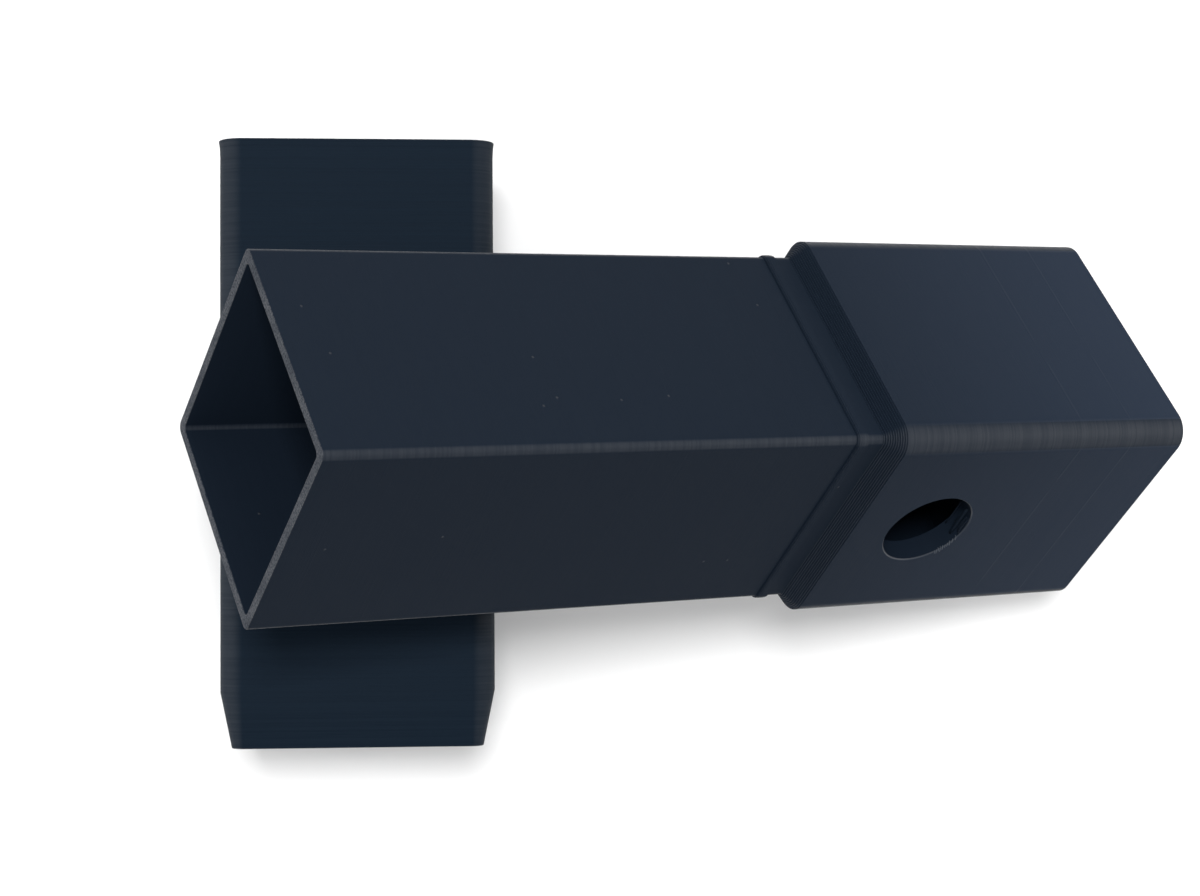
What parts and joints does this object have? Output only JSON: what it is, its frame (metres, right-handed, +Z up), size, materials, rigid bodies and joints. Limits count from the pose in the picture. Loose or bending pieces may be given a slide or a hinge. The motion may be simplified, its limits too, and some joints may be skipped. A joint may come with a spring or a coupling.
{
  "type": "hitch key safe",
  "caption": "Printed key safe for a square receiver tube: a square key box with a hitch pin hole, and the cover sleeve that closes over its tube.",
  "frame": {"origin": "middle of the cover sleeve's underside, on the surface that the safe is laid out on", "axes": "+Z up, +Y along the sleeve towards its open mouth, +X towards the block end of the key box"},
  "size_m": [0.1803, 0.111, 0.1293],
  "materials": {
    "box_plastic": "satin near-black blue, fine printed layers across its axis",
    "sleeve_plastic": "satin near-black blue, fine printed layers across its axis"
  },
  "bodies": {
    "box": {"key_box": "box_plastic"},
    "cover": {"cover_sleeve": "sleeve_plastic"}
  },
  "joints": [
    {"name": "cover_slide", "type": "slide", "parent": "box", "child": "cover", "axis": [0, -1, 0], "range_m": [0, 0.1048]}
  ]
}
